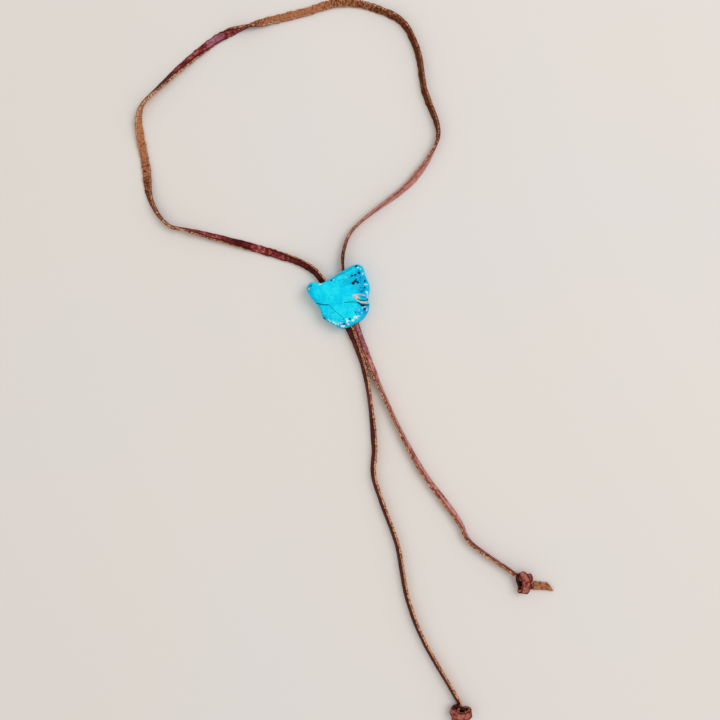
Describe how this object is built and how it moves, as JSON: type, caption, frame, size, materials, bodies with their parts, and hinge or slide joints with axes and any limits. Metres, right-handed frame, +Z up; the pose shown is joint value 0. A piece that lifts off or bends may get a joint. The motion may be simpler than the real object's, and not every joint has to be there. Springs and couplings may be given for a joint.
{
  "type": "leather lariat necklace",
  "caption": "Slide-through lariat necklace: a flat leather lace with knotted ends, drawn through a drilled free-form turquoise slab.",
  "frame": {"origin": "under the middle of the bead's outline, on the flat surface that the necklace lies on", "axes": "+Z up out of the bead's face, +Y towards the neck loop, +X to the right seen from above"},
  "size_m": [0.2222, 0.3952, 0.0085],
  "materials": {
    "leather": "dyed maroon grain on one side, rough tan flesh on the other and on the cut edges",
    "turquoise": "waxed and softly polished face with a little tan and black matrix"
  },
  "bodies": {
    "root": {"leather_lace": "leather", "short_tail_knot": "leather", "long_tail_knot": "leather", "turquoise_bead": "turquoise"}
  },
  "joints": []
}
